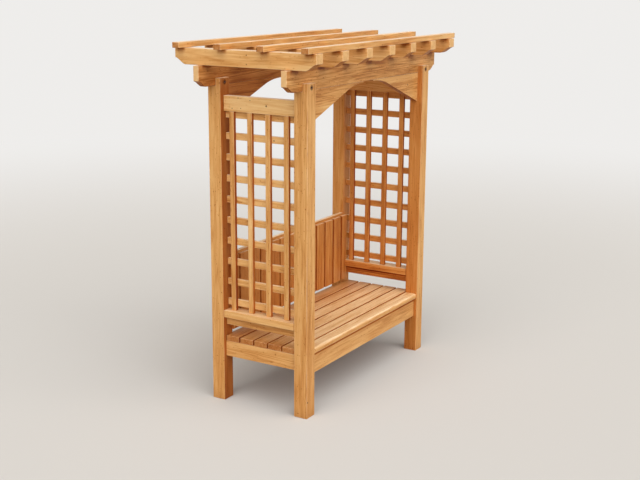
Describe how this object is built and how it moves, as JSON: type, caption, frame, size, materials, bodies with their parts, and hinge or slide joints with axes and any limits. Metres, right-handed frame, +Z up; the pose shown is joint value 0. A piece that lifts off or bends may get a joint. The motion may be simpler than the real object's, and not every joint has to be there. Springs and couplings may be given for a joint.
{
  "type": "arbour seat",
  "caption": "Timber garden arbour seat: slatted bench and backrest between lattice side panels, under an open rafter roof carried on notched posts with arched braces.",
  "frame": {"origin": "on the ground, under the middle of the roof's outline", "axes": "+Z up, -Y towards the open front where people sit down, -X towards the left side seen from the front"},
  "size_m": [1.88, 0.964, 2.2089],
  "materials": {
    "post_timber": "clear oiled softwood, satin",
    "roof_timber": "clear oiled softwood, satin",
    "panel_timber": "clear oiled softwood, satin",
    "seat_timber": "clear oiled softwood, satin",
    "back_timber": "clear oiled softwood, satin",
    "bolt_zinc": "dull zinc plate"
  },
  "bodies": {
    "root": {"post_front_left": "post_timber", "post_front_right": "post_timber", "post_rear_left": "post_timber", "post_rear_right": "post_timber", "header_front": "roof_timber", "header_rear": "roof_timber", "brace_front_left": "roof_timber", "brace_front_right": "roof_timber", "brace_rear_left": "roof_timber", "brace_rear_right": "roof_timber", "rafter_1": "roof_timber", "rafter_2": "roof_timber", "rafter_3": "roof_timber", "rafter_4": "roof_timber", "rafter_5": "roof_timber", "rafter_6": "roof_timber", "rafter_7": "roof_timber", "batten_1": "roof_timber", "batten_2": "roof_timber", "batten_3": "roof_timber", "batten_4": "roof_timber", "top_rail_left": "panel_timber", "top_rail_right": "panel_timber", "lattice_left": "panel_timber", "lattice_right": "panel_timber", "sill_left": "panel_timber", "sill_right": "panel_timber", "lower_rail_left": "panel_timber", "lower_rail_right": "panel_timber", "seat_slat_1": "seat_timber", "seat_slat_2": "seat_timber", "seat_slat_3": "seat_timber", "seat_slat_4": "seat_timber", "seat_slat_5": "seat_timber", "seat_slat_6": "seat_timber", "front_apron": "seat_timber", "rear_seat_rail": "seat_timber", "side_apron_left": "seat_timber", "side_apron_right": "seat_timber", "seat_bearer_left": "seat_timber", "seat_bearer_right": "seat_timber", "back_slat_1": "back_timber", "back_slat_2": "back_timber", "back_slat_3": "back_timber", "back_slat_4": "back_timber", "back_slat_5": "back_timber", "back_slat_6": "back_timber", "back_slat_7": "back_timber", "back_slat_8": "back_timber", "back_slat_9": "back_timber", "back_slat_10": "back_timber", "back_slat_11": "back_timber", "back_slat_12": "back_timber", "back_slat_13": "back_timber", "back_top_rail": "back_timber", "back_lower_rail": "back_timber", "bolt_front_left": "bolt_zinc", "bolt_front_right": "bolt_zinc", "bolt_rear_left": "bolt_zinc", "bolt_rear_right": "bolt_zinc"}
  },
  "joints": []
}
